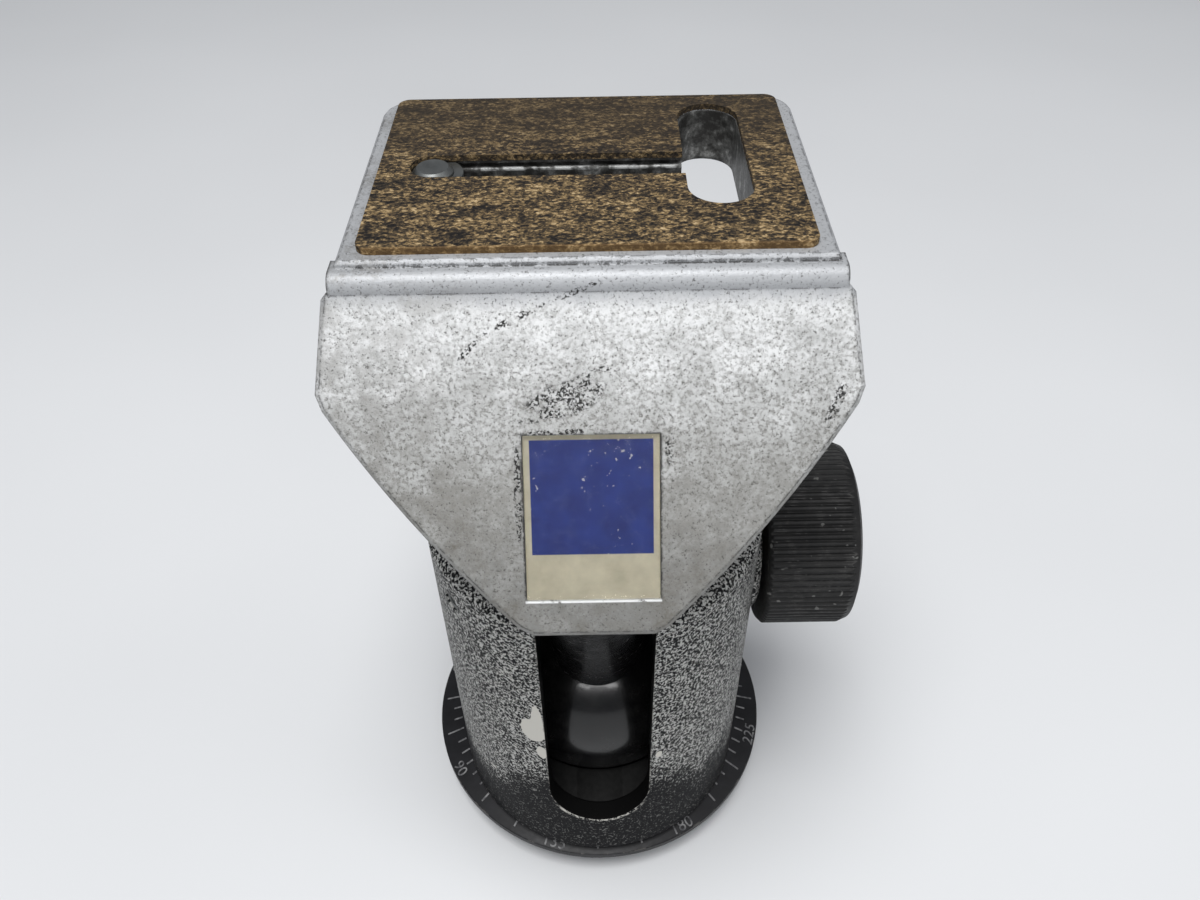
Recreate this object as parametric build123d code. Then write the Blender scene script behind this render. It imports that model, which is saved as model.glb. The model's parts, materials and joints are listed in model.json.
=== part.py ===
from build123d import *
import math
import os

# Sizes in mm. z = 0 is the base's underside, +Z is up and -Y is the front.
BED = 0.02
SEAT_GAP = 0.05
SCREW_FIT = 0.03
SPHERE_GAP = 0.3

FOOT_R = 24.0
FOOT_T = 4.5
TRIPOD_R = 4.7625
FOOT_SCREW_R = 1.22
FOOT_SCREW_AT = 20.9
BASE_R = 40.0
BEVEL_W = 6.0
BEVEL_DROP = 2.0
RIM_H = 1.5
SKIRT_R = 32.0
SKIRT_H = 4.5
WEB_T = 3.0
JOURNAL_R = 12.0
JOURNAL_GAP = 0.06
WASHER_T = 1.22
WASHER_R0 = 14.2
WASHER_R1 = 20.4
RECESS_T = 1.0
RETAINER_R = 16.0
RETAINER_T = 1.8
RETAINER_SCREW_R = 1.47
RETAINER_SCREW_AT = 7.0
HEAD_H = 1.2
SPRING_T = 0.4
SPRING_W = 2.7

HOUSING_R = 32.2
WALL_T = 4.0
HOUSING_Y = -7.5
HOUSING_EDGE = 1.2
FLOOR_T = 2.6
BALL_GAP = 4.3
BALL_CLEAR = 0.7
NECK_R = 9.5
NECK_ELEV = 66.0
TENON_R = 6.0
NOTCH_GAP = 0.75
NOTCH_DROP = 2.45
LINING_T = 1.6
SHOE_T = 2.84
WEDGE_ANGLE = 12.0
WEDGE_GAP = 0.06
WEDGE_RISE = 6.8
WEDGE_SHORT = 1.1
WEDGE_W = 10.0
GUIDE_T = 3.0
PLUG_H = 9.0
PLUG_GAP = 0.08
CAP_T = 4.0
CAP_SCREW_R = 2.0
CAP_SCREW_ANGLES = (50, 130, 215)

LOCK_R = 4.0
LOCK_GAP = 0.06
BUSH_T = 4.0
BOSS_R = 15.5
BOSS_OUT = 0.2
BUSH_OUT = 0.3
KNOB_Y = -1.0
KNOB_R = 18.7
KNOB_L = 18.3
KNOB_GAP = 0.5
KNOB_RIBS = 84
RIB_DEPTH = 0.5
PIN_R = 1.3

PLATE_UP = 115.5
PLATE_T = 9.0
PLATE_HALF_W = 34.9
PLATE_BACK_Y = 30.0
CORK_T = 1.0
CORK_HALF_W = 32.3
CORK_FRONT_Y = -19.5
CORK_BACK_Y = 28.2
FACE_ELEV = 32.0
FACE_T = 6.0
FACE_Y = -24.3
FACE_DROP = 4.0
FACE_HALF_W = 38.8
FACE_FOOT_W = 9.0
FACE_L = 49.8
BADGE_W = 19.6
NECK_SCREW_X = 4.0
NECK_SCREW_R = 2.0

SLOT_Y = 4.0
SLOT_W = 6.9
WIDE_X = 20.0
WIDE_W = 10.0
WIDE_Y0 = -8.6
WIDE_Y1 = 24.6
SCREW_X = -24.0
SCREW_R = 3.175
SCREW_LIFT = 5.5
CLIP_T = 0.8
HAND_R = 9.5
HAND_H = 13.0
HAND_GRIPS = 12
STUD_WASHER_T = 1.4

# Sizes that follow others.
HOUSING_BORE_R = HOUSING_R - WALL_T
BALL_R = HOUSING_BORE_R - BALL_GAP
SEAT_H = 0.5523 * BALL_R
SHOE_HALF = 0.3936 * HOUSING_BORE_R
SHOE_DEPTH = 0.5674 * HOUSING_BORE_R
WEDGE_HALF = SHOE_HALF - WEDGE_SHORT
BADGE_S = -0.6386 * FACE_L
BADGE_H = 0.494 * FACE_L
NECK_SCREW_S = -0.8133 * FACE_L

# Heights, stacked from the base's underside.
POCKET_Z = FOOT_T + SEAT_GAP
HEAD_Z = POCKET_Z + 0.1
RETAINER_Z = HEAD_Z + HEAD_H + SEAT_GAP
JOURNAL_Z = RETAINER_Z + RETAINER_T
SHOULDER_Z = JOURNAL_Z + SPRING_T + 2 * SEAT_GAP
BASE_TOP_Z = SHOULDER_Z + WEB_T
WASHER_Z = BASE_TOP_Z - RECESS_T + SEAT_GAP / 2
HOUSING_Z = BASE_TOP_Z + 0.3
FLOOR_Z = HOUSING_Z + FLOOR_T
BALL_Z = FLOOR_Z + BALL_R + BALL_CLEAR
NOTCH_Z = BALL_Z - NOTCH_DROP
LINING_R0 = BALL_R + SPHERE_GAP
LINING_R1 = LINING_R0 + LINING_T
SHOE_TOP_Z = BALL_Z + LINING_R1 + SHOE_T
WEDGE_MID_Z = SHOE_TOP_Z + WEDGE_GAP
KNOB_Z = WEDGE_MID_Z + WEDGE_RISE
CAP_UNDER_Z = KNOB_Z + LOCK_R + 2.0
WALL_TOP_Z = CAP_UNDER_Z + PLUG_H
CAP_Z = WALL_TOP_Z + SEAT_GAP / 2
CAP_TOP_Z = WALL_TOP_Z + CAP_T
PLATE_TOP_Z = BALL_Z + PLATE_UP
PLATE_Z = PLATE_TOP_Z - PLATE_T
CORK_TOP_Z = PLATE_TOP_Z + CORK_T

NOTCH_HALF = NECK_R + NOTCH_GAP
WEDGE_TAN = math.tan(math.radians(WEDGE_ANGLE))
BOSS_X = HOUSING_R + BOSS_OUT
BUSH_X = BOSS_X + BUSH_OUT
KNOB_X = BUSH_X + KNOB_GAP
KNOB_OUT_X = KNOB_X + KNOB_L
PIN_X = KNOB_X + 7.0
LOCK_END_X = KNOB_X + 14.0
NECK_DIR = (0.0, -math.cos(math.radians(NECK_ELEV)), math.sin(math.radians(NECK_ELEV)))
BALL_AT = (0.0, HOUSING_Y, BALL_Z)
FACE_N = (0.0, -math.cos(math.radians(FACE_ELEV)), math.sin(math.radians(FACE_ELEV)))
FACE = Plane(origin=(0, FACE_Y, PLATE_TOP_Z - FACE_DROP), x_dir=(1, 0, 0), z_dir=FACE_N)
THIRDS = (90, 210, 330)


def along(point, direction, distance):
    return tuple(p + d * distance for p, d in zip(point, direction))


def rod(point, direction, start, end, radius):
    """A cylinder on the line from point along direction, between two distances."""
    plane = Plane(origin=along(point, direction, start), z_dir=direction)
    return extrude(plane * Circle(radius), end - start)


def tube(z0, z1, outer, inner, y=0.0, x=0.0):
    ring = Circle(outer) - Circle(inner)
    return extrude(Plane.XY.offset(z0) * Pos(x, y) * ring, z1 - z0)


def disc(z0, z1, radius, y=0.0, x=0.0):
    return extrude(Plane.XY.offset(z0) * Pos(x, y) * Circle(radius), z1 - z0)


def block(x0, x1, y0, y1, z0, z1):
    centre = Pos((x0 + x1) / 2, (y0 + y1) / 2, (z0 + z1) / 2)
    return centre * Box(x1 - x0, y1 - y0, z1 - z0)


def turned(points, y=0.0):
    """A solid of revolution about the vertical line through (0, y)."""
    face = make_face(Plane.XZ * Polyline(*points, close=True))
    return Pos(0, y, 0) * revolve(face, Axis.Z)


def ball_space(radius):
    return Pos(*BALL_AT) * Sphere(radius)


def notch(y_back):
    """The front opening that the neck swings in."""
    y0 = HOUSING_Y - HOUSING_R - 10
    bottom = Plane(origin=(0, y0, NOTCH_Z), x_dir=(1, 0, 0), z_dir=(0, 1, 0))
    round_end = extrude(bottom * Circle(NOTCH_HALF), y_back - y0)
    return round_end + block(-NOTCH_HALF, NOTCH_HALF, y0, y_back, NOTCH_Z, CAP_TOP_Z + 10)


def x_rod(x0, x1, radius):
    """A cylinder on the lock screw's axis."""
    return rod((0, KNOB_Y, KNOB_Z), (1, 0, 0), x0, x1, radius)


def around(radius, angles):
    spots = []
    for a in angles:
        spots.append((radius * math.cos(math.radians(a)), radius * math.sin(math.radians(a))))
    return spots


def cap_screw(x, y, z, head_r, shank_r, end_z):
    """A socket-head screw whose head is below its shank."""
    screw = disc(z, z + HEAD_H, head_r, y, x) + disc(z + HEAD_H, end_z, shank_r, y, x)
    return screw - extrude(Plane.XY.offset(z) * Pos(x, y) * RegularPolygon(0.85 * shank_r, 6), 0.9 * HEAD_H)


parts = {}

# Base: a black dial disc with its bevelled scale, bored for the pan journal.
pocket_r = RETAINER_R + 2.5
bore_r = JOURNAL_R + JOURNAL_GAP
rim_z = BASE_TOP_Z - BEVEL_DROP
base = turned([
    (bore_r, SHOULDER_Z), (bore_r, BASE_TOP_Z), (WASHER_R0 - 0.1, BASE_TOP_Z),
    (WASHER_R0 - 0.1, BASE_TOP_Z - RECESS_T), (WASHER_R1 + 0.1, BASE_TOP_Z - RECESS_T),
    (WASHER_R1 + 0.1, BASE_TOP_Z), (BASE_R - BEVEL_W, BASE_TOP_Z), (BASE_R, rim_z),
    (BASE_R, rim_z - RIM_H), (BASE_R - 1.2, rim_z - RIM_H - 1.0), (SKIRT_R, SKIRT_H), (SKIRT_R, 0.6),
    (SKIRT_R - 0.6, 0.0), (FOOT_R + SEAT_GAP, 0.0), (FOOT_R + SEAT_GAP, POCKET_Z),
    (pocket_r, POCKET_Z), (pocket_r, SHOULDER_Z),
])
foot = disc(0.0, FOOT_T, FOOT_R) - disc(-1, FOOT_T + 1, TRIPOD_R)
foot_screws = []
for x, y in around(FOOT_SCREW_AT, (30, 150, 270)):
    screw_end = POCKET_Z + 3.2
    base -= disc(POCKET_Z - 1, screw_end + 0.4, FOOT_SCREW_R + SCREW_FIT, y, x)
    foot -= disc(-1, FOOT_T + 1, FOOT_SCREW_R + 0.38, y, x)
    foot -= disc(-1, HEAD_H + 0.45, FOOT_SCREW_R + 1.68, y, x)
    foot_screws.append(cap_screw(x, y, 0.42, FOOT_SCREW_R + 1.38, FOOT_SCREW_R, screw_end))
parts["pan_base"] = base
parts["foot_plate"] = foot
parts["foot_screws"] = Compound(children=foot_screws)
parts["thrust_washer"] = tube(WASHER_Z, WASHER_Z + WASHER_T, WASHER_R1, WASHER_R0)

# Pan retainer: a steel washer screwed to the housing's journal from below.
retainer = disc(RETAINER_Z, JOURNAL_Z, RETAINER_R)
retainer_screws = []
for x, y in around(RETAINER_SCREW_AT, THIRDS):
    retainer -= disc(RETAINER_Z - 1, JOURNAL_Z + 1, RETAINER_SCREW_R + 0.23, y, x)
    head_z = RETAINER_Z - HEAD_H - SEAT_GAP / 2
    screw = cap_screw(x, y, head_z, RETAINER_SCREW_R + 1.23, RETAINER_SCREW_R, HOUSING_Z + FLOOR_T / 2)
    retainer_screws.append(screw)
parts["pan_retainer"] = retainer
parts["retainer_screws"] = Compound(children=retainer_screws)
spring_z = JOURNAL_Z + SEAT_GAP
spring_r = JOURNAL_R + 0.8
parts["drag_spring"] = tube(spring_z, spring_z + SPRING_T, spring_r + SPRING_W, spring_r)

# Housing: an eccentric cast cup with the notch in front and the knob boss at the right.
cup = turned([
    (0, HOUSING_Z), (HOUSING_R - HOUSING_EDGE, HOUSING_Z),
    (HOUSING_R - 0.3 * HOUSING_EDGE, HOUSING_Z + 0.3 * HOUSING_EDGE),
    (HOUSING_R, HOUSING_Z + HOUSING_EDGE), (HOUSING_R, WALL_TOP_Z),
    (HOUSING_BORE_R, WALL_TOP_Z), (HOUSING_BORE_R, FLOOR_Z), (0, FLOOR_Z),
], HOUSING_Y)
cup += disc(JOURNAL_Z, HOUSING_Z + 0.5, JOURNAL_R)
boss = x_rod(HOUSING_R - 14, BOSS_X, BOSS_R)
boss = chamfer(boss.faces().sort_by(Axis.X)[-1].edges(), 0.9)
boss -= block(0, BOSS_X + 5, -60, 60, WALL_TOP_Z, WALL_TOP_Z + 40)
boss -= disc(0, CAP_TOP_Z + 20, HOUSING_BORE_R, HOUSING_Y)
cup += boss
cup -= notch(HOUSING_Y - 12)
bush_r = LOCK_R + BUSH_T
cup -= x_rod(HOUSING_BORE_R - 9, BOSS_X + 5, bush_r + BED)
cap_screw_z = CAP_UNDER_Z + PLUG_H / 2
cap_axis = (0, HOUSING_Y, cap_screw_z)
for a in CAP_SCREW_ANGLES:
    out = (math.cos(math.radians(a)), math.sin(math.radians(a)), 0)
    cup -= rod(cap_axis, out, HOUSING_BORE_R - 3, HOUSING_R + 3, CAP_SCREW_R + SCREW_FIT)
for x, y in around(RETAINER_SCREW_AT, THIRDS):
    cup -= disc(JOURNAL_Z - 1, HOUSING_Z + FLOOR_T / 2 + 0.3, RETAINER_SCREW_R + SCREW_FIT, y, x)
parts["housing"] = cup

plug_r = HOUSING_BORE_R - PLUG_GAP
cap = turned([
    (0, CAP_UNDER_Z), (plug_r, CAP_UNDER_Z), (plug_r, CAP_Z), (HOUSING_R, CAP_Z),
    (HOUSING_R, CAP_TOP_Z - 2.0), (HOUSING_R - 1.0, CAP_TOP_Z - 0.6), (HOUSING_R - 2.7, CAP_TOP_Z),
    (0, CAP_TOP_Z),
], HOUSING_Y)
shoe_y0 = KNOB_Y - 1.2
guide_in = SHOE_HALF + 0.2
for x0, x1 in ((-guide_in - GUIDE_T, -guide_in), (guide_in, guide_in + GUIDE_T)):
    cap += block(x0, x1, shoe_y0, shoe_y0 + SHOE_DEPTH, SHOE_TOP_Z - 3.14, CAP_UNDER_Z + 1)
cap -= notch(HOUSING_Y - 3.7)
cap -= x_rod(guide_in - GUIDE_T, guide_in + 3 * GUIDE_T, LOCK_R + 0.6)
cap_screws = []
for a in CAP_SCREW_ANGLES:
    out = (math.cos(math.radians(a)), math.sin(math.radians(a)), 0)
    cap -= rod(cap_axis, out, plug_r - 4.6, HOUSING_R + 3, CAP_SCREW_R + SCREW_FIT)
    screw = rod(cap_axis, out, plug_r - 4.2, HOUSING_R - 0.4, CAP_SCREW_R)
    hexed = Plane(origin=along(cap_axis, out, HOUSING_R - 2.3), z_dir=out)
    cap_screws.append(screw - extrude(hexed * RegularPolygon(0.55 * CAP_SCREW_R, 6), 4))
parts["cap"] = cap
parts["cap_screws"] = Compound(children=cap_screws)

# Ball seat, with the same opening as the housing in front.
seat = disc(FLOOR_Z + BED, FLOOR_Z + SEAT_H, plug_r, HOUSING_Y) - ball_space(LINING_R0)
seat -= disc(FLOOR_Z - 5, FLOOR_Z + SEAT_H + 5, 0.6 * BALL_R, HOUSING_Y)
seat -= notch(HOUSING_Y - BALL_R / 3)
parts["ball_seat"] = seat

# Lock: knob and screw draw a wedge that presses the shoe on the ball.
bush = x_rod(HOUSING_BORE_R - BUSH_T / 2, BUSH_X, bush_r) - x_rod(0, KNOB_X, LOCK_R + LOCK_GAP)
parts["lock_bush"] = bush - disc(0, CAP_TOP_Z, HOUSING_BORE_R, HOUSING_Y)
screw = x_rod(-2 * LOCK_R, LOCK_END_X, LOCK_R)
screw = chamfer(screw.faces().sort_by(Axis.X)[0].edges(), 0.8)
pin_at = (PIN_X, KNOB_Y, KNOB_Z)
pin_hole = rod(pin_at, (0, 0, 1), -KNOB_R - 10, LOCK_R + 4.0, PIN_R)
parts["lock_screw"] = screw - pin_hole

knob = x_rod(KNOB_X, KNOB_OUT_X, KNOB_R)
knob = chamfer(knob.faces().sort_by(Axis.X)[-1].edges(), 2.6, 1.1)
knob = chamfer(knob.faces().sort_by(Axis.X)[-1].edges(), 0.9, 1.5)
knob = chamfer(knob.faces().sort_by(Axis.X)[0].edges(), 0.8)
knob -= x_rod(KNOB_X - 5, LOCK_END_X + 0.2, LOCK_R + SCREW_FIT)
vee = math.sqrt(2) * RIB_DEPTH
groove = Pos((KNOB_X + KNOB_OUT_X) / 2, KNOB_R, 0) * Rot(45, 0, 0) * Box(KNOB_L + 2, vee, vee)
grooves = []
for i in range(KNOB_RIBS):
    grooves.append(Pos(0, KNOB_Y, KNOB_Z) * Rot(360 * i / KNOB_RIBS, 0, 0) * groove)
parts["main_knob"] = knob - grooves - pin_hole
parts["knob_pin"] = rod(pin_at, (0, 0, 1), 1.7 - KNOB_R, LOCK_R + 3.5, PIN_R - SCREW_FIT)

# The wedge's underside rises towards +X, so a pull to +X presses the shoe down.
wedge_x0 = -WEDGE_HALF - 0.5
wedge_x1 = WEDGE_HALF - 0.5
wedge_top = CAP_UNDER_Z - 0.3
wedge_side = Polyline(
    (wedge_x0, wedge_top), (wedge_x0, WEDGE_MID_Z + wedge_x0 * WEDGE_TAN),
    (wedge_x1, WEDGE_MID_Z + wedge_x1 * WEDGE_TAN), (wedge_x1, wedge_top), close=True)
wedge = extrude(Plane.XZ * make_face(wedge_side), WEDGE_W, dir=(0, 1, 0))
wedge = Pos(0, KNOB_Y - WEDGE_W / 2, 0) * wedge
parts["wedge"] = wedge - x_rod(-20, 20, LOCK_R + LOCK_GAP)

shoe_side = Polyline(
    (-SHOE_HALF, BALL_Z), (SHOE_HALF, BALL_Z), (SHOE_HALF, SHOE_TOP_Z + SHOE_HALF * WEDGE_TAN),
    (-SHOE_HALF, SHOE_TOP_Z - SHOE_HALF * WEDGE_TAN), close=True)
shoe = extrude(Plane.XZ * make_face(shoe_side), SHOE_DEPTH, dir=(0, 1, 0))
shoe = Pos(0, shoe_y0, 0) * shoe
lining = (shoe & ball_space(LINING_R1)) - ball_space(LINING_R0)
parts["shoe_lining"] = lining - block(-60, 60, -60, 60, BALL_Z - 5, BALL_Z + 0.59 * BALL_R)
shoe -= ball_space(LINING_R1 + SEAT_GAP)
parts["lock_shoe"] = shoe - block(-60, 60, -60, 60, BALL_Z - 5, BALL_Z + 0.67 * BALL_R)

# Ball and neck.
ball_flat = math.sqrt(BALL_R ** 2 - NECK_R ** 2)
ball = ball_space(BALL_R) - rod(BALL_AT, NECK_DIR, ball_flat, 2 * BALL_R, BALL_R)
parts["ball"] = ball - rod(BALL_AT, NECK_DIR, 5.5, 2 * BALL_R, TENON_R + SCREW_FIT)
behind_face = extrude(FACE.offset(-FACE_T) * Rectangle(300, 300), 150)
neck = rod(BALL_AT, NECK_DIR, ball_flat + BED, 2 * PLATE_UP, NECK_R) - behind_face
neck += rod(BALL_AT, NECK_DIR, 6.0, ball_flat + 0.1, TENON_R)
neck_screws = []
neck_holes = []
for x in (-NECK_SCREW_X, NECK_SCREW_X):
    at = FACE * Pos(x, NECK_SCREW_S)
    head = extrude(at * Pos(0, 0, -4.4) * Circle(NECK_SCREW_R + 1.0), 2.9)
    shank = extrude(at * Pos(0, 0, -FACE_T - 5.8) * Circle(NECK_SCREW_R - SCREW_FIT), FACE_T + 1.4)
    neck_screws.append(head + shank)
    neck_holes.append(extrude(at * Pos(0, 0, -FACE_T - 6.0) * Circle(NECK_SCREW_R), FACE_T + 6.0))
    neck_holes.append(extrude(at * Pos(0, 0, -4.42) * Circle(NECK_SCREW_R + 1.2), 6.0))
parts["neck"] = neck - neck_holes
parts["neck_screws"] = Compound(children=neck_screws)

# Platform: a level top plate with a stepped, rounded lip, and a sloped front plate screwed to the neck.
lip_y = CORK_FRONT_Y - 1.7
plan = Rectangle(2 * PLATE_HALF_W, PLATE_BACK_Y - lip_y)
plan = fillet(plan.vertices().group_by(Axis.Y)[-1], 5.0)
top = extrude(Plane.XY.offset(PLATE_Z) * Pos(0, (PLATE_BACK_Y + lip_y) / 2) * plan, PLATE_T)
top = chamfer(top.faces().sort_by(Axis.Z)[-1].edges(), 0.5)
ledge_z = PLATE_TOP_Z - 0.95
crease_y = FACE_Y + 0.3
lip_side = Polyline((crease_y, ledge_z - 2.6), (crease_y, PLATE_Z), (lip_y + 2, PLATE_Z), (lip_y + 2, ledge_z),
                    (lip_y - 0.9, ledge_z))
lip_round = ThreePointArc((lip_y - 0.9, ledge_z), (crease_y + 0.45, ledge_z - 0.8), (crease_y, ledge_z - 2.6))
lip = extrude(Plane.YZ * make_face(lip_side + lip_round), PLATE_HALF_W + 0.9, both=True)
shoulder_s = -0.265 * FACE_L
right = Polyline((PLATE_HALF_W + 0.9, 1.2), (FACE_HALF_W - 1.8, 0.0), (FACE_HALF_W, shoulder_s),
                 (FACE_HALF_W - 0.8, shoulder_s - 2.4))
flank = ThreePointArc((FACE_HALF_W - 0.8, shoulder_s - 2.4), (0.678 * FACE_HALF_W, -0.643 * FACE_L),
                      (FACE_FOOT_W + 2.2, 1.2 - FACE_L))
foot_corner = Polyline((FACE_FOOT_W + 2.2, 1.2 - FACE_L), (FACE_FOOT_W, -FACE_L), (0, -FACE_L))
half_face = right + flank + foot_corner + Polyline((0, -FACE_L), (0, 1.2), (PLATE_HALF_W + 0.9, 1.2))
half_plate = make_face(half_face)
front = extrude(FACE.offset(-FACE_T) * (half_plate + mirror(half_plate, Plane.YZ)), FACE_T)
front -= block(-60, 60, -90, 90, ledge_z - 1.5, PLATE_TOP_Z + 60)
outer = front.faces().sort_by(lambda f: f.center().dot(Vector(*FACE_N)))[-1]
front = chamfer(outer.edges().filter_by(lambda e: FACE.to_local_coords(e.center()).Y < -1.0), 0.7)
platform = top + lip + front
platform -= neck_holes
slot_x0 = SCREW_X - SLOT_W / 2
narrow = Pos((slot_x0 + WIDE_X) / 2, SLOT_Y) * SlotOverall(WIDE_X - slot_x0, SLOT_W)
wide = Pos(WIDE_X, (WIDE_Y0 + WIDE_Y1) / 2) * SlotOverall(WIDE_Y1 - WIDE_Y0, WIDE_W, rotation=90)
slots = extrude(Plane.XY.offset(PLATE_Z - 5) * narrow, PLATE_T + CORK_T + 10)
slots += extrude(Plane.XY.offset(PLATE_Z - 5) * wide, PLATE_T + CORK_T + 10)
platform -= slots
clip_r = SCREW_R + 1.5
clip_z = PLATE_TOP_Z - CLIP_T - 0.2
rebate = clip_r + 0.6
platform -= block(SCREW_X - rebate, WIDE_X, SLOT_Y - rebate, SLOT_Y + rebate, clip_z - 0.3, CORK_TOP_Z + 5)
badge_at = FACE * Pos(0, BADGE_S)
platform -= extrude(badge_at * Rectangle(BADGE_W + 0.2, BADGE_H + 0.2), -1.4)
parts["platform"] = platform

pad = Rectangle(2 * CORK_HALF_W, CORK_BACK_Y - CORK_FRONT_Y)
pad = fillet(pad.vertices(), 2.0)
pad_at = Plane.XY.offset(PLATE_TOP_Z + BED) * Pos(0, (CORK_BACK_Y + CORK_FRONT_Y) / 2)
parts["cork_pad"] = extrude(pad_at * pad, CORK_T - BED) - slots

parts["badge_card"] = extrude(badge_at * Pos(0, 0, -1.38) * Rectangle(BADGE_W, BADGE_H), 0.5)
window = extrude(badge_at * Pos(0, 0, -0.86) * Rectangle(BADGE_W, BADGE_H), 0.86)
window = chamfer(window.faces().sort_by(lambda f: f.center().dot(Vector(*FACE_N)))[-1].edges(), 0.3)
parts["badge_window"] = window

# Camera screw: a split ring in the slot's rebate holds it as it travels, and it lifts to reach the camera.
hand_top = PLATE_Z - SCREW_LIFT - STUD_WASHER_T - 2 * SEAT_GAP
hand_z = hand_top - HAND_H
camera_screw = disc(hand_z + 2, CORK_TOP_Z - 0.1, SCREW_R, SLOT_Y, SCREW_X)
parts["camera_screw"] = chamfer(camera_screw.faces().sort_by(Axis.Z)[-1].edges(), 0.7)
clip = tube(clip_z, clip_z + CLIP_T, clip_r, SCREW_R + SEAT_GAP, SLOT_Y, SCREW_X)
clip -= block(SCREW_X - 1.6, SCREW_X + 1.6, SLOT_Y - 2 * clip_r, SLOT_Y, clip_z - 5, clip_z + 5)
parts["screw_clip"] = clip
hand = disc(hand_z, hand_top, HAND_R, SLOT_Y, SCREW_X)
hand = chamfer(hand.faces().sort_by(Axis.Z)[0].edges(), 1.2)
hand -= disc(hand_z + 1.9, hand_top + 5, SCREW_R + BED, SLOT_Y, SCREW_X)
for x, y in around(HAND_R + 0.5, [360 * i / HAND_GRIPS for i in range(HAND_GRIPS)]):
    hand -= disc(hand_z - 5, hand_top + 5, 1.2, SLOT_Y + y, SCREW_X + x)
parts["screw_knob"] = hand
washer_z = hand_top + SEAT_GAP
washer = tube(washer_z, washer_z + STUD_WASHER_T, HAND_R - 2.0, SCREW_R + 0.08, SLOT_Y, SCREW_X)
parts["screw_washer"] = washer

os.makedirs("parts", exist_ok=True)
for name, shape in parts.items():
    shape.label = name
    export_step(shape, "parts/" + name + ".step")
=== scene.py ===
import json
import math

import bpy
from mathutils import Matrix, Vector


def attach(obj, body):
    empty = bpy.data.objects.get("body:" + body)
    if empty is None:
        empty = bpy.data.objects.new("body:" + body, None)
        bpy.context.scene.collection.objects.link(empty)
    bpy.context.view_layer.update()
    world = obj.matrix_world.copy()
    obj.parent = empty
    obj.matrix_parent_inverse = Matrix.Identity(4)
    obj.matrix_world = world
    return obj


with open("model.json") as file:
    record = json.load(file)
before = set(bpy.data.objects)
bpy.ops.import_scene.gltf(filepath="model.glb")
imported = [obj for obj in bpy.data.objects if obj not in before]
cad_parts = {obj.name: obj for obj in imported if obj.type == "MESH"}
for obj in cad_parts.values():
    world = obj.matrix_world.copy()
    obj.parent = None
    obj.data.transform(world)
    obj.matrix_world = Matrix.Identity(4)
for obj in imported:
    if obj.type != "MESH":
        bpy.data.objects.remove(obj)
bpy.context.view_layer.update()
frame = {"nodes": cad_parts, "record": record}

MM = 0.001
X, Y, Z = Vector((1, 0, 0)), Vector((0, 1, 0)), Vector((0, 0, 1))
nodes = frame["nodes"]

# The platform's front plate: a point at its top, and the way up it.
FACE_SLOPE = math.radians(32.0)
FACE_O = Vector((0.0, -24.3, 150.2)) * MM
FACE_UP = Vector((0.0, math.sin(FACE_SLOPE), math.cos(FACE_SLOPE)))

# Black rubs on the front plate: centre across and up the plate, half length, half width, turn.
RUBS = (
    ((-1.6, 0.7), 4.4, 0.5, 22.0), ((-10.2, -2.9), 6.4, 0.6, 25.0), ((-16.9, -7.2), 3.0, 0.5, 46.0),
    ((-3.6, -14.3), 7.2, 3.0, 16.0), ((-9.0, -17.3), 3.0, 0.5, 2.0), ((0.6, -10.6), 3.4, 0.7, 18.0),
    ((-5.0, -19.0), 6.5, 0.5, 2.0), ((-10.6, -28.0), 0.7, 9.0, 0.0), ((11.3, -21.5), 1.0, 3.2, 0.0),
    ((34.6, -15.6), 5.2, 1.0, 68.0),
)
# The platform's slots and the bare streak on the narrow one's back wall: middle and half size.
NARROW_SLOT = (-2.0, 4.0, 149.7), (26.0, 5.6, 4.4)
WIDE_SLOT = (20.0, 8.0, 149.7), (5.2, 16.9, 4.4)
SLOT_STREAK = (3.0, 7.45, 152.75), (20.0, 0.5, 0.25)

# Bare chips beside the housing's notch, and the index mark: centre and half size in x and z.
CHIPS = (
    ((-11.6, 0, 61.5), (1.6, 8.6)), ((-12.6, 0, 58.5), (3.4, 5.2)), ((-11.2, 0, 51.0), (1.5, 3.0)),
    ((12.0, 0, 49.0), (0.9, 1.6)),
)
INDEX_MARK = (-23.0, 0, 32.2), (0.9, 0.6)
# The notch's round end: its centre's height, and squared distances from it in square metres.
NOTCH_Z = 36.25
NOTCH_WALL = 1.072e-4, 1.060e-4
NOTCH_RIM = 1.30e-4, 1.16e-4
HOUSING_FRONT = 37.9

# The label: its middle up the front plate, and its blue field from there.
LABEL_S = -31.8
FIELD_HALF_W, FIELD_TOP, FIELD_LOW = 8.8, 11.5, -5.4


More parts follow.
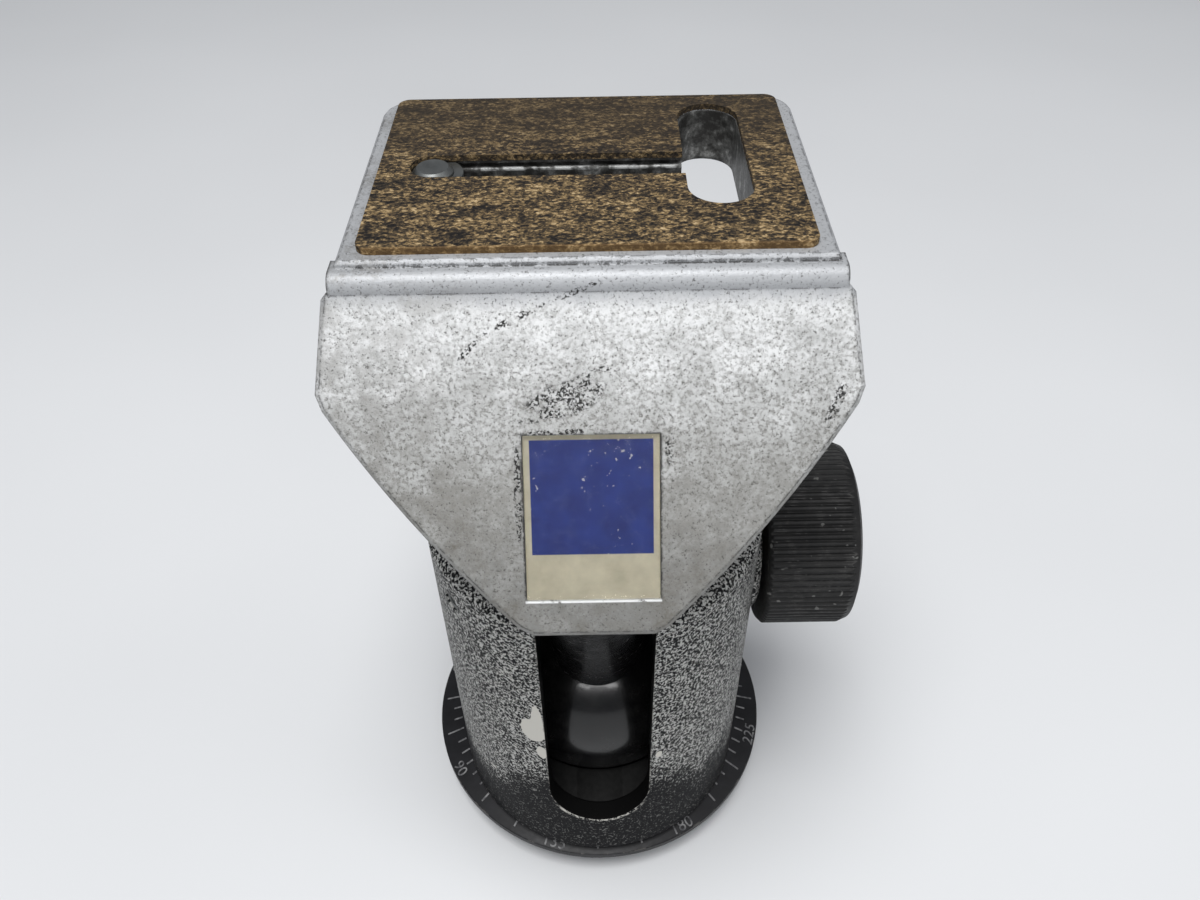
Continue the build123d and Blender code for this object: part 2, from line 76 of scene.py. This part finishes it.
class Paint:
    """A Principled material with helpers for its procedural nodes."""

    def __init__(self, name, **shader):
        self.mat = bpy.data.materials.new(name)
        self.mat.use_nodes = True
        self.tree = self.mat.node_tree
        self.bsdf = self.tree.nodes["Principled BSDF"]
        for key, value in shader.items():
            self.bsdf.inputs[key.replace("_", " ")].default_value = value
        self.coord = self.add("ShaderNodeTexCoord").outputs["Object"]

    def add(self, kind, sockets=None, **props):
        n = self.tree.nodes.new(kind)
        for key, value in props.items():
            setattr(n, key, value)
        for key, value in (sockets or {}).items():
            self.put(n.inputs[key], value)
        return n

    def put(self, socket, value):
        if isinstance(value, bpy.types.NodeSocket):
            self.tree.links.new(value, socket)
        else:
            socket.default_value = value

    def shade(self, **links):
        for key, value in links.items():
            self.put(self.bsdf.inputs[key.replace("_", " ")], value)

    def noise(self, scale, detail=2.0, rough=0.5, at=None, distort=0.0):
        n = self.add("ShaderNodeTexNoise", {"Vector": at or self.coord, "Scale": scale, "Detail": detail,
                                            "Roughness": rough, "Distortion": distort})
        return n.outputs["Fac"]

    def math(self, op, a, b=0.0):
        return self.add("ShaderNodeMath", {0: a, 1: b}, operation=op).outputs[0]

    def plus(self, a, b):
        return self.math("ADD", a, b)

    def minus(self, a, b):
        return self.math("SUBTRACT", a, b)

    def times(self, *values):
        out = values[0]
        for value in values[1:]:
            out = self.math("MULTIPLY", out, value)
        return out

    def most(self, *values):
        out = values[0]
        for value in values[1:]:
            out = self.math("MAXIMUM", out, value)
        return out

    def line(self, value, gain, base):
        return self.plus(self.times(value, gain), base)

    def sway(self, noise, amount):
        """A noise moved to lie round 0."""
        return self.times(self.minus(noise, 0.5), amount)

    def step(self, value, low, high):
        """0 below low and 1 above high, or the reverse where low is the larger."""
        n = self.add("ShaderNodeMapRange", {"Value": value, "From Min": low, "From Max": high},
                     interpolation_type="SMOOTHSTEP")
        return n.outputs["Result"]

    def step_mm(self, value, low, high):
        return self.step(value, low * MM, high * MM)

    def dot(self, direction, origin=(0, 0, 0)):
        """The distance along a direction from a point, in metres."""
        moved = self.add("ShaderNodeVectorMath", {0: self.coord, 1: tuple(origin)}, operation="SUBTRACT")
        n = self.add("ShaderNodeVectorMath", {0: moved.outputs[0], 1: tuple(direction)},
                     operation="DOT_PRODUCT")
        return n.outputs["Value"]

    def stretch(self, x, y, z):
        return self.add("ShaderNodeMapping", {"Vector": self.coord, "Scale": (x, y, z)}).outputs[0]

    def ramp(self, fac, *stops):
        n = self.add("ShaderNodeValToRGB", {"Fac": fac})
        elements = n.color_ramp.elements
        while len(elements) < len(stops):
            elements.new(0.5)
        for element, (place, colour) in zip(elements, stops):
            element.position = place
            element.color = (*colour, 1.0)
        return n.outputs["Color"]

    def mix(self, fac, a, b):
        n = self.add("ShaderNodeMix", data_type="RGBA")
        self.put(n.inputs[0], fac)
        for socket, value in ((n.inputs[6], a), (n.inputs[7], b)):
            self.put(socket, (*value, 1.0) if isinstance(value, tuple) else value)
        return n.outputs[2]

    def bump(self, shade_and_dirt_level, strength, depth, normal=None):
        """A bumped normal; depth in mm."""
        n = self.add("ShaderNodeBump", {"Height": shade_and_dirt_level, "Strength": strength, "Distance": depth * MM})
        if normal is not None:
            self.put(n.inputs["Normal"], normal)
        return n.outputs[0]

    def soft_edge(self, radius):
        """The normal rounded over edges, and a mask that is 1 along them; in mm."""
        rounded = self.add("ShaderNodeBevel", {"Radius": radius * MM}, samples=6).outputs[0]
        flat = self.add("ShaderNodeNewGeometry").outputs["Normal"]
        n = self.add("ShaderNodeVectorMath", {0: rounded, 1: flat}, operation="DOT_PRODUCT")
        return rounded, self.step(n.outputs["Value"], 0.998, 0.93)

    def oval(self, along, across, at, long, wide):
        """1 at a point and 0 from the rim of an oval round it; half axes in mm."""
        u = self.math("DIVIDE", self.dot(along, at), long * MM)
        v = self.math("DIVIDE", self.dot(across, at), wide * MM)
        return self.step(self.plus(self.times(u, u), self.times(v, v)), 1.0, 0.0)

    def spot(self, centre, long, wide, turn):
        """An oval on the front plate, in mm and degrees."""
        a = math.radians(turn)
        at = FACE_O + X * centre[0] * MM + FACE_UP * centre[1] * MM
        along = X * math.cos(a) + FACE_UP * math.sin(a)
        across = FACE_UP * math.cos(a) - X * math.sin(a)
        return self.oval(along, across, at, long, wide)

    def patch(self, centre, size):
        """An oval in x and z, the same at every y, in mm."""
        return self.oval(X, Z, Vector(centre) * MM, *size)

    def inside(self, centre, half):
        """1 within a box of the row frame, in mm."""
        near = []
        for axis, middle, reach in zip((X, Y, Z), centre, half):
            off = self.math("ABSOLUTE", self.minus(self.dot(axis), middle * MM))
            near.append(self.step_mm(off, reach + 0.1, reach))
        return self.times(*near)


def silver_paint():
    p = Paint("silver_paint", Metallic=0.3, Roughness=0.5)
    rounded, edge = p.soft_edge(0.6)
    fine = p.noise(3000.0, 3.0, 0.65)
    grain = p.noise(1700.0, 4.0, 0.65)
    cloud = p.noise(190.0, 6.0, 0.74)
    drop = p.dot(FACE_UP, FACE_O)

    # Pale at the top of the front plate and darker down it, partly painted shade and partly dirt; dirtier down
    # it and to the left.
    shade_and_dirt_level = p.plus(p.step_mm(drop, -52.0, 4.0), p.sway(cloud, 1.25))
    colour = p.ramp(shade_and_dirt_level, (0.0, (0.21, 0.21, 0.20)), (0.35, (0.325, 0.325, 0.312)),
                    (0.72, (0.51, 0.515, 0.51)), (1.0, (0.73, 0.735, 0.735)))
    lip = p.step_mm(p.plus(drop, p.sway(cloud, 5.0 * MM)), -2.2, 0.8)
    mottle = p.times(p.step(grain, 0.58, 0.36), p.minus(0.72, p.times(p.step_mm(drop, -20.0, 0.0), 0.3)))
    colour = p.mix(p.times(mottle, p.minus(1.0, p.times(lip, 0.7))), colour, (0.19, 0.185, 0.17))
    colour = p.mix(p.times(lip, 0.85), colour, (0.36, 0.37, 0.385))
    pores = p.times(p.step(fine, 0.47, 0.36), p.step(grain, 0.58, 0.42))
    colour = p.mix(p.times(pores, 0.8), colour, (0.06, 0.058, 0.052))
    low = p.step_mm(drop, -12.0, -46.0)
    side = p.step_mm(p.dot(-X), 6.0, 34.0)
    where = p.plus(p.times(low, 0.6), p.times(side, 0.5))
    dirt = p.times(where, p.step(p.noise(170.0, 6.0, 0.72), 0.42, 0.62), p.step(grain, 0.36, 0.62))
    colour = p.mix(dirt, colour, (0.095, 0.082, 0.060))

    # Black rubs and worn edges.
    specks = p.step(p.noise(2500.0, 2.0, 0.6), 0.48, 0.54)
    rubs = p.most(*[p.spot(*rub) for rub in RUBS])
    rubs = p.times(p.step(rubs, 0.05, 0.5), specks, p.step(p.noise(620.0, 3.0, 0.65), 0.40, 0.52))
    worn = p.times(edge, p.step(p.noise(640.0, 4.0, 0.75), 0.46, 0.52))
    colour = p.mix(p.most(worn, rubs), colour, (0.014, 0.013, 0.012))

    # Painted highlight along the lower edge of the label's recess.
    ledge_highlight = p.times(p.step_mm(drop, -44.0, -44.1), p.step_mm(drop, -44.6, -44.4),
                    p.step_mm(p.math("ABSOLUTE", p.dot(X)), 10.1, 9.9), p.step(cloud, 0.36, 0.44))
    colour = p.mix(p.times(ledge_highlight, 0.8), colour, (0.74, 0.75, 0.75))

    # Painted shade in the slots, dark and mottled.
    slots = p.most(p.inside(*NARROW_SLOT), p.inside(*WIDE_SLOT))
    slot_shade = p.ramp(p.noise(420.0, 4.0, 0.7), (0.42, (0.028, 0.027, 0.025)), (0.56, (0.10, 0.10, 0.095)),
                   (0.68, (0.30, 0.30, 0.29)))
    colour = p.mix(slots, colour, slot_shade)
    streak = p.times(p.inside(*SLOT_STREAK), p.step(p.noise(330.0, 3.0, 0.6), 0.46, 0.60))
    colour = p.mix(p.times(streak, 0.75), colour, (0.62, 0.63, 0.62))

    p.shade(Base_Color=colour, Roughness=p.line(p.step(fine, 0.2, 0.9), 0.25, 0.38),
            Normal=p.bump(grain, 0.32, 0.2, p.bump(fine, 0.28, 0.1, rounded)))
    return p.mat


def hammer_paint():
    p = Paint("hammer_paint", Roughness=0.4, Specular_IOR_Level=0.02)
    rounded, edge = p.soft_edge(0.6)
    flake = p.noise(1900.0, 2.0, 0.55, distort=0.5)
    fine = p.noise(4200.0, 1.0, 0.5)
    drift = p.noise(110.0, 3.0, 0.6)
    x, y, z = p.dot(X), p.dot(Y), p.dot(Z)

    # Pale flakes on black. The black zone at the foot is partly dark paint and partly painted shade, which
    # reaches highest at the front.
    shade_rise_at_front = p.math("MINIMUM", p.times(p.plus(y, HOUSING_FRONT * MM), 1.7), 12.0 * MM)
    foot_shade_level = p.plus(p.plus(z, shade_rise_at_front), p.sway(drift, 18.0 * MM))
    density = p.minus(0.690, p.times(p.step_mm(foot_shade_level, 36.0, 47.0), 0.095))
    level = p.minus(p.plus(flake, p.times(fine, 0.22)), density)
    colour = p.ramp(p.step(level, -0.05, 0.10), (0.0, (0.014, 0.014, 0.015)),
                    (0.45, (0.075, 0.075, 0.072)), (1.0, (0.46, 0.46, 0.44)))
    # The black zone at the foot: partly dark paint, partly painted shade.
    colour = p.mix(p.times(p.step_mm(foot_shade_level, 45.0, 34.0), 0.70), colour, (0.007, 0.007, 0.008))

    # Bare metal at the front: chips, the rim of the notch and worn edges; then the index mark.
    front = p.step_mm(y, -30.0, -34.0)
    chips = p.most(*[p.patch(*chip) for chip in CHIPS])
    ragged = p.plus(chips, p.sway(p.noise(520.0, 3.0, 0.65), 1.0))
    fall = p.math("MINIMUM", p.dot(Z, Z * NOTCH_Z * MM), 0.0)
    reach = p.plus(p.times(x, x), p.times(fall, fall))
    arc = p.times(p.step_mm(z, 31.5, 28.5), p.step(reach, *NOTCH_RIM),
                  p.step(p.noise(1100.0, 3.0, 0.7), 0.47, 0.54))
    lines = p.times(edge, p.step(p.noise(600.0, 3.0, 0.7), 0.46, 0.58), p.step_mm(z, 23.5, 25.0), 0.7)
    index = p.times(p.step(p.patch(*INDEX_MARK), 0.1, 0.3), p.step_mm(y, -20.0, -24.0))
    bare = p.times(p.most(p.step(ragged, 0.42, 0.50), arc, lines), front)
    colour = p.mix(p.most(bare, p.times(index, 0.6)), colour, (0.56, 0.545, 0.50))

    notch = p.times(p.step(reach, *NOTCH_WALL), p.step_mm(y, -15.0, -17.0))
    colour = p.mix(notch, colour, (0.006, 0.006, 0.006))
    p.shade(Base_Color=colour, Roughness=p.line(flake, 0.3, 0.26), Normal=p.bump(flake, 0.22, 0.2, rounded))
    return p.mat


def black_gloss():
    p = Paint("black_gloss", Specular_IOR_Level=0.35, Coat_Weight=0.3, Coat_Roughness=0.1)
    haze = p.noise(260.0, 4.0, 0.65)
    colour = p.ramp(haze, (0.35, (0.003, 0.003, 0.0035)), (0.75, (0.009, 0.0088, 0.0085)))
    p.shade(Base_Color=colour, Roughness=p.line(haze, 0.24, 0.12), Normal=p.bump(haze, 0.02, 0.1))
    return p.mat


def black_paint():
    p = Paint("black_paint", Roughness=0.45, Specular_IOR_Level=0.3)
    rounded, edge = p.soft_edge(0.5)
    grain = p.noise(900.0, 3.0, 0.6)
    dust = p.noise(120.0, 5.0, 0.65)
    colour = p.ramp(dust, (0.35, (0.005, 0.005, 0.006)), (0.7, (0.014, 0.014, 0.016)))
    worn = p.times(edge, p.step(p.noise(500.0, 3.0, 0.6), 0.52, 0.62))
    colour = p.mix(p.times(worn, 0.5), colour, (0.22, 0.21, 0.19))
    p.shade(Base_Color=colour, Roughness=p.line(grain, 0.25, 0.32), Normal=p.bump(grain, 0.12, 0.1, rounded))
    return p.mat


def black_plastic():
    p = Paint("black_plastic", Roughness=0.5, Specular_IOR_Level=0.3)
    rounded, edge = p.soft_edge(0.4)
    grain = p.noise(1200.0, 3.0, 0.6)
    dust = p.noise(260.0, 5.0, 0.7)
    colour = p.ramp(dust, (0.35, (0.005, 0.005, 0.005)), (0.72, (0.016, 0.0155, 0.015)))
    specks = p.step(p.noise(700.0, 1.0, 0.5), 0.72, 0.76)
    colour = p.mix(p.times(specks, 0.6), colour, (0.20, 0.20, 0.19))
    scuff = p.times(edge, p.step(p.noise(330.0, 3.0, 0.6), 0.50, 0.66))
    colour = p.mix(p.times(scuff, 0.4), colour, (0.16, 0.155, 0.15))
    p.shade(Base_Color=colour, Roughness=p.line(grain, 0.3, 0.36), Normal=p.bump(grain, 0.15, 0.1, rounded))
    return p.mat


def cork():
    p = Paint("cork", Roughness=0.85, Specular_IOR_Level=0.25)
    grain = p.noise(1750.0, 4.0, 0.72, at=p.stretch(0.7, 1.1, 1.0), distort=0.5)
    coarse = p.noise(330.0, 3.0, 0.6, at=p.stretch(0.6, 1.2, 1.0))
    level = p.plus(p.times(grain, 0.72), p.times(coarse, 0.28))
    colour = p.ramp(level, (0.41, (0.006, 0.005, 0.005)), (0.475, (0.030, 0.023, 0.016)),
                    (0.525, (0.098, 0.067, 0.033)), (0.575, (0.26, 0.178, 0.083)),
                    (0.65, (0.50, 0.375, 0.215)))
    y = p.dot(Y)
    colour = p.mix(p.times(p.step_mm(y, -4.0, 22.0), 0.62), colour, (0.030, 0.022, 0.014))
    colour = p.mix(p.times(p.step_mm(y, -18.8, -19.4), 0.3), colour, (0.30, 0.17, 0.06))
    p.shade(Base_Color=colour, Normal=p.bump(grain, 0.5, 0.3))
    return p.mat


def metal(name, tint, rough):
    p = Paint(name, Metallic=1.0, Roughness=rough)
    lines = p.noise(900.0, 3.0, 0.6, at=p.stretch(1.0, 1.0, 0.15))
    stain = p.noise(180.0, 3.0, 0.6)
    dark = tuple(0.62 * t for t in tint)
    p.shade(Base_Color=p.ramp(stain, (0.3, dark), (0.7, tint)), Roughness=p.line(lines, 0.25, rough - 0.1),
            Normal=p.bump(lines, 0.15, 0.1))
    return p.mat


def seat_plastic():
    p = Paint("seat_plastic", Roughness=0.6, Specular_IOR_Level=0.3)
    grain = p.noise(800.0, 3.0, 0.6)
    p.shade(Base_Color=p.ramp(grain, (0.3, (0.006, 0.006, 0.006)), (0.7, (0.014, 0.014, 0.0135))),
            Normal=p.bump(grain, 0.2, 0.1))
    return p.mat


def label_card():
    """Cream card with a plain blue field; it carries no lettering."""
    p = Paint("label_card", Roughness=0.5)
    x = p.math("ABSOLUTE", p.dot(X))
    s = p.dot(FACE_UP, FACE_O + FACE_UP * LABEL_S * MM)
    field = p.times(p.step_mm(x, FIELD_HALF_W + 0.15, FIELD_HALF_W), p.step_mm(s, FIELD_TOP + 0.15, FIELD_TOP),
                    p.step_mm(s, FIELD_LOW - 0.2, FIELD_LOW))
    age = p.noise(300.0, 4.0, 0.6)
    cream = p.ramp(age, (0.3, (0.47, 0.42, 0.31)), (0.7, (0.62, 0.565, 0.43)))
    blue = p.ramp(age, (0.3, (0.004, 0.018, 0.17)), (0.7, (0.009, 0.032, 0.24)))
    chips = p.times(p.step(p.noise(1300.0, 2.0, 0.5), 0.68, 0.71), p.step(p.noise(160.0), 0.50, 0.58))
    blue = p.mix(p.times(chips, 0.8), blue, (0.55, 0.55, 0.56))
    p.shade(Base_Color=p.mix(field, cream, blue))
    return p.mat


def label_window():
    p = Paint("label_window", Roughness=0.06, IOR=1.3, Transmission_Weight=1.0)
    haze = p.noise(500.0, 4.0, 0.6)
    p.shade(Roughness=p.times(p.step(haze, 0.45, 0.8), 0.25),
            Base_Color=p.ramp(haze, (0.3, (0.93, 0.94, 0.93)), (0.7, (0.98, 0.98, 0.96))))
    return p.mat


def white_ink():
    p = Paint("white_ink", Roughness=0.6)
    wear = p.noise(600.0, 3.0, 0.6)
    p.shade(Base_Color=p.ramp(wear, (0.35, (0.035, 0.035, 0.04)), (0.65, (0.26, 0.26, 0.26))))
    return p.mat


looks = {
    "silver_paint": silver_paint(), "hammer_paint": hammer_paint(), "black_gloss": black_gloss(),
    "black_paint": black_paint(), "black_plastic": black_plastic(), "cork": cork(),
    "steel": metal("steel", (0.25, 0.26, 0.255), 0.45), "bronze": metal("bronze", (0.55, 0.40, 0.19), 0.4),
    "seat_plastic": seat_plastic(), "label_card": label_card(), "label_window": label_window(),
}
for sub in frame["record"]["subparts"]:
    mesh = nodes[sub["node"]].data
    mesh.materials.clear()
    mesh.materials.append(looks[sub["material_slot"]])


def piece(name, verts, faces, body, material):
    mesh = bpy.data.meshes.new(name)
    mesh.from_pydata([tuple(v) for v in verts], [], faces)
    mesh.materials.append(material)
    obj = bpy.data.objects.new(name, mesh)
    bpy.context.scene.collection.objects.link(obj)
    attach(obj, body)
    return obj


# Scale printed on the base's bevel, in mm. The bevel starts at BEVEL_R and BEVEL_Z and slopes outwards.
BEVEL_R, BEVEL_Z = 34.0, 11.2
BEVEL_RUN, BEVEL_FALL = 6.0, 2.0
BEVEL_OUT = BEVEL_RUN / math.hypot(BEVEL_RUN, BEVEL_FALL)
BEVEL_DOWN = BEVEL_FALL / math.hypot(BEVEL_RUN, BEVEL_FALL)
SCALE_TURN = 119.0
MARKS, MARK_ANGLE = 72, 5
LONG_EVERY, NUMBER_EVERY = 3, 9
MARK_TOP, MARK_SHORT, MARK_LONG = 0.7, 2.9, 5.0
MARK_HALF_W = 0.2
MARK_LIFTS = -0.05, 0.06
NUMBER_SIZE, NUMBER_HALF_T, NUMBER_LIFT = 3.7, 0.055, 0.005
NUMBER_FOOT, NUMBER_R = 5.9, 38.0


def on_bevel(angle, v, lift):
    """The point at an angle, v down the slope and lift above it."""
    r = BEVEL_R + BEVEL_OUT * v + BEVEL_DOWN * lift
    z = BEVEL_Z - BEVEL_DOWN * v + BEVEL_OUT * lift
    return Vector((r * math.cos(angle), r * math.sin(angle), z)) * MM


def add_box(verts, faces, low, high):
    """Joins two rings of the same length into a closed box."""
    k = len(verts)
    n = len(low)
    verts += low + high
    faces += [tuple(k + n - 1 - i for i in range(n)), tuple(k + n + i for i in range(n))]
    faces += [(k + i, k + (i + 1) % n, k + n + (i + 1) % n, k + n + i) for i in range(n)]


def number_mesh(text):
    curve = bpy.data.curves.new("number", "FONT")
    curve.body = text
    curve.size = NUMBER_SIZE
    curve.align_x = "CENTER"
    curve.extrude = NUMBER_HALF_T
    curve.resolution_u = 3
    holder = bpy.data.objects.new("number", curve)
    bpy.context.scene.collection.objects.link(holder)
    bpy.context.view_layer.update()
    flat = bpy.data.meshes.new_from_object(holder.evaluated_get(bpy.context.evaluated_depsgraph_get()))
    bpy.data.objects.remove(holder)
    return flat


def scale_marks():
    verts, faces = [], []
    for i in range(MARKS):
        a = math.radians(SCALE_TURN + MARK_ANGLE * i)
        long = i % LONG_EVERY == 0 and i % NUMBER_EVERY != 0
        foot = MARK_LONG if long else MARK_SHORT
        corners = [(-MARK_HALF_W, MARK_TOP), (MARK_HALF_W, MARK_TOP), (MARK_HALF_W, foot), (-MARK_HALF_W, foot)]
        low, high = ([on_bevel(a + w / (BEVEL_R + v), v, lift) for w, v in corners] for lift in MARK_LIFTS)
        add_box(verts, faces, low, high)
    for degrees in range(0, MARKS * MARK_ANGLE, NUMBER_EVERY * MARK_ANGLE):
        flat = number_mesh(str(degrees))
        a = math.radians(SCALE_TURN + degrees)
        k = len(verts)
        for v in flat.vertices:
            verts.append(on_bevel(a + v.co.x / NUMBER_R, NUMBER_FOOT - v.co.y, v.co.z + NUMBER_LIFT))
        faces += [tuple(k + j for j in poly.vertices) for poly in flat.polygons]
    return piece("scale_marks", verts, faces, "base", white_ink())


scale_marks()

# Stage, light and camera.
FLOOR_HALF = 3.0
floor_mesh = bpy.data.meshes.new("floor")
floor_mesh.from_pydata([(x * FLOOR_HALF, y * FLOOR_HALF, 0) for x, y in ((-1, -1), (1, -1), (1, 1), (-1, 1))],
                       [], [(0, 1, 2, 3)])
floor = bpy.data.objects.new("floor", floor_mesh)
bpy.context.scene.collection.objects.link(floor)
ground = Paint("floor", Roughness=0.9)
ground.shade(Base_Color=ground.ramp(ground.noise(6.0, 2.0), (0.3, (0.70, 0.71, 0.72)),
                                    (0.7, (0.73, 0.74, 0.75))))
floor_mesh.materials.append(ground.mat)


def area_light(name, place, aim, wide, high, power):
    data = bpy.data.lights.new(name, "AREA")
    data.shape = "RECTANGLE"
    data.size = wide
    data.size_y = high
    data.energy = power
    obj = bpy.data.objects.new(name, data)
    obj.location = place
    obj.rotation_euler = (Vector(aim) - Vector(place)).to_track_quat("-Z", "Y").to_euler()
    bpy.context.scene.collection.objects.link(obj)


area_light("key", (-0.1, -0.25, 1.15), (0, 0, 0.1), 0.55, 0.55, 11.5)
area_light("front", (0.0, -1.15, 0.62), (0, 0, 0.06), 0.9, 0.07, 3.0)
area_light("side", (0.9, -0.2, 0.8), (0, 0, 0.1), 0.6, 0.6, 1.6)
world = bpy.data.worlds.new("world")
world.use_nodes = True
sky = world.node_tree.nodes["Background"].inputs
sky["Color"].default_value = (0.9, 0.93, 1.0, 1.0)
sky["Strength"].default_value = 0.26
bpy.context.scene.world = world

# The camera was fitted to the photograph; its place is in mm.
EYE = Vector((1.26, -135.31, 227.14))
EYE_RIGHT = Vector((0.99987, -0.01134, -0.01185))
EYE_UP = Vector((0.01640, 0.69142, 0.72227))
EYE_BACK = Vector((0.0, -0.72236, 0.69151))
camera = bpy.data.cameras.new("camera")
camera.sensor_width = 36.0
camera.sensor_fit = "HORIZONTAL"
camera.lens = 29.13
camera.clip_start = 0.01
eye = bpy.data.objects.new("camera", camera)
bpy.context.scene.collection.objects.link(eye)
turn = Matrix((EYE_RIGHT, EYE_UP, EYE_BACK)).transposed().to_4x4()
eye.matrix_world = Matrix.Translation(EYE * MM) @ turn
bpy.context.scene.camera = eye
bpy.context.scene.view_settings.view_transform = "Standard"
